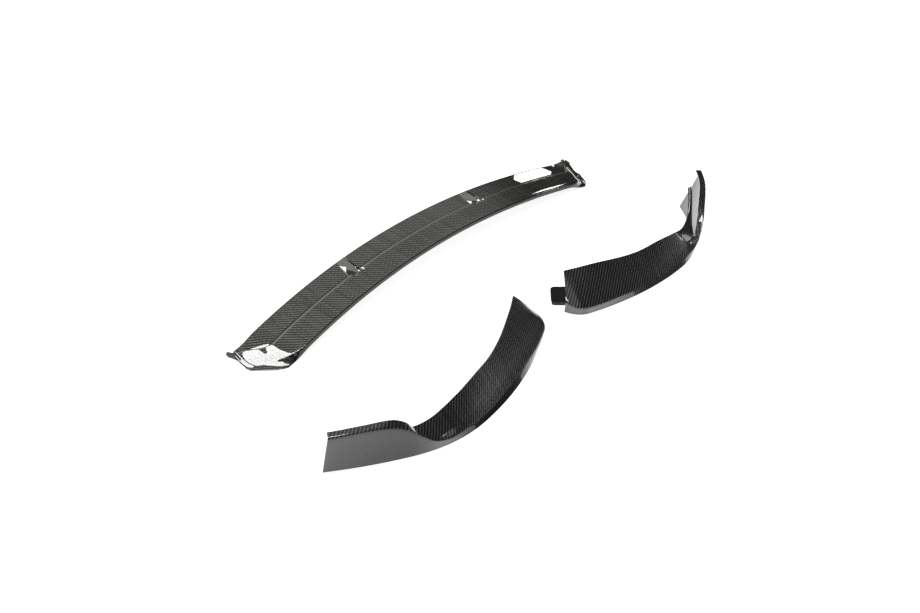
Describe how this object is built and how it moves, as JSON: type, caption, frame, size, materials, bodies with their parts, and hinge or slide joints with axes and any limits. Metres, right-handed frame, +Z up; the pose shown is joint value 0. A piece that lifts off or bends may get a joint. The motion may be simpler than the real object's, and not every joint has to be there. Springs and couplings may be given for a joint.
{
  "type": "front splitter lip",
  "caption": "Car front splitter lip in moulded sections: a bowed centre section and a mirrored pair of corner blades with upturned side fins, laid out flat.",
  "frame": {"origin": "middle of the laid-out set on the floor it rests on", "axes": "+Z up from the floor, +Y away from the viewer, +X to the viewer's right, as laid out in the picture"},
  "size_m": [1.0208, 1.2942, 0.1],
  "materials": {
    "centre_section": "carbon fibre weave under gloss lacquer",
    "left_corner": "carbon fibre weave under gloss lacquer",
    "right_corner": "carbon fibre weave under gloss lacquer",
    "joining_tab": "dull black laminate"
  },
  "bodies": {
    "root": {"centre_section": "centre_section", "left_corner": "left_corner", "right_corner": "right_corner", "joining_tab": "joining_tab"}
  },
  "joints": []
}
